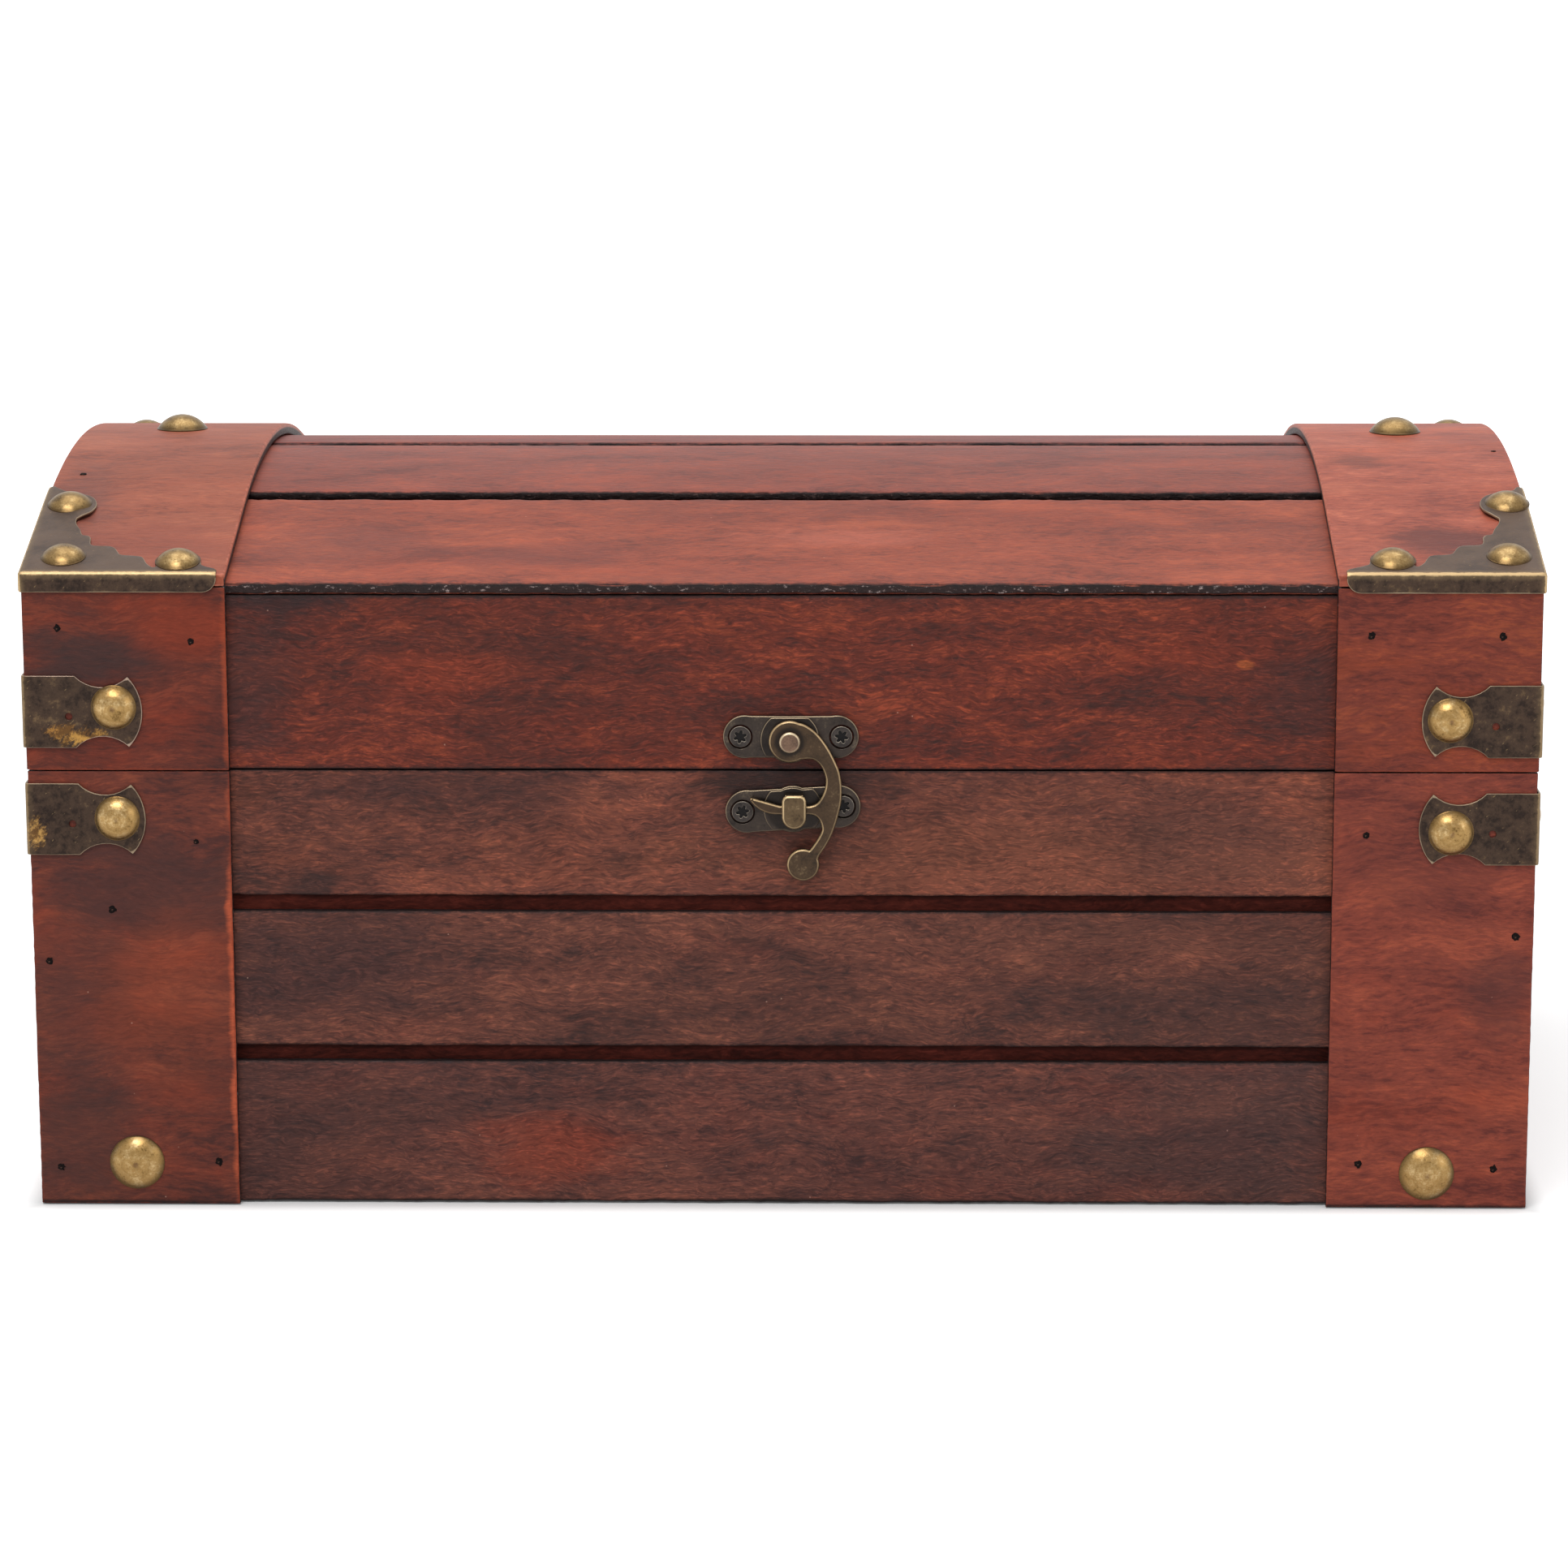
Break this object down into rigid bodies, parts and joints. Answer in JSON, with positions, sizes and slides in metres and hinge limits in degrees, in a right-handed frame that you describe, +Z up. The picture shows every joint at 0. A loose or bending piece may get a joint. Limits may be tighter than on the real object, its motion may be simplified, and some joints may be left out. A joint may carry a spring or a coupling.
{
  "type": "wooden storage chest",
  "caption": "Wooden storage chest with a shallow domed lid, wooden straps, folded metal corners, domed tacks and a swing-hook latch.",
  "frame": {"origin": "on the floor under the middle of the chest", "axes": "+Z up, +X to the right seen from the front, the front with its latch faces -Y"},
  "size_m": [0.3198, 0.1861, 0.1554],
  "materials": {
    "carcass_wood": "satin",
    "plank_wood": "satin",
    "slat_wood": "satin",
    "strap_wood": "satin",
    "bronze_sheet": "antique, satin",
    "latch_bronze": "antique, satin",
    "tack_brass": "antique, satin"
  },
  "bodies": {
    "base": {"bottom_board": "carcass_wood", "base_front_wall": "carcass_wood", "base_back_wall": "carcass_wood", "base_left_end": "carcass_wood", "base_right_end": "carcass_wood", "front_plank_lower": "plank_wood", "front_plank_middle": "plank_wood", "front_plank_upper": "plank_wood", "back_plank_lower": "plank_wood", "back_plank_middle": "plank_wood", "back_plank_upper": "plank_wood", "base_front_strap_left": "strap_wood", "base_front_strap_right": "strap_wood", "base_back_strap_left": "strap_wood", "base_back_strap_right": "strap_wood", "base_corner_plate_front_left": "bronze_sheet", "base_corner_plate_front_right": "bronze_sheet", "base_corner_plate_back_left": "bronze_sheet", "base_corner_plate_back_right": "bronze_sheet", "keeper_plate": "latch_bronze", "keeper_screw_left": "latch_bronze", "keeper_screw_right": "latch_bronze", "hinge_base_leaf_left": "bronze_sheet", "hinge_base_leaf_right": "bronze_sheet", "hinge_pin_left": "tack_brass", "hinge_pin_right": "tack_brass"},
    "lid": {"lid_front_wall": "carcass_wood", "lid_back_wall": "carcass_wood", "lid_left_end": "carcass_wood", "lid_right_end": "carcass_wood", "lid_front_plank": "plank_wood", "lid_back_plank": "plank_wood", "dome_panel": "carcass_wood", "dome_slat_front": "slat_wood", "dome_slat_upper_front": "slat_wood", "dome_slat_upper_back": "slat_wood", "dome_slat_back": "slat_wood", "lid_front_strap_left": "strap_wood", "lid_front_strap_right": "strap_wood", "lid_back_strap_left": "strap_wood", "lid_back_strap_right": "strap_wood", "dome_strap_left": "strap_wood", "dome_strap_right": "strap_wood", "corner_bracket_front_left": "bronze_sheet", "corner_bracket_front_right": "bronze_sheet", "corner_bracket_back_left": "bronze_sheet", "corner_bracket_back_right": "bronze_sheet", "lid_corner_plate_front_left": "bronze_sheet", "lid_corner_plate_front_right": "bronze_sheet", "lid_corner_plate_back_left": "bronze_sheet", "lid_corner_plate_back_right": "bronze_sheet", "latch_plate": "latch_bronze", "latch_screw_left": "latch_bronze", "latch_screw_right": "latch_bronze", "hook_rivet": "tack_brass", "hinge_lid_leaf_left": "bronze_sheet", "hinge_lid_leaf_right": "bronze_sheet"},
    "hook": {"latch_hook": "latch_bronze"}
  },
  "joints": [
    {"name": "lid_hinge", "type": "hinge", "parent": "base", "child": "lid", "pos_m": [0, 0.0902, 0.0935], "axis": [-1, 0, 0], "range_deg": [0, 105]},
    {"name": "hook_pivot", "type": "hinge", "parent": "lid", "child": "hook", "pos_m": [0.0019, -0.0905, 0.1001], "axis": [0, -1, 0], "range_deg": [0, 110]}
  ]
}
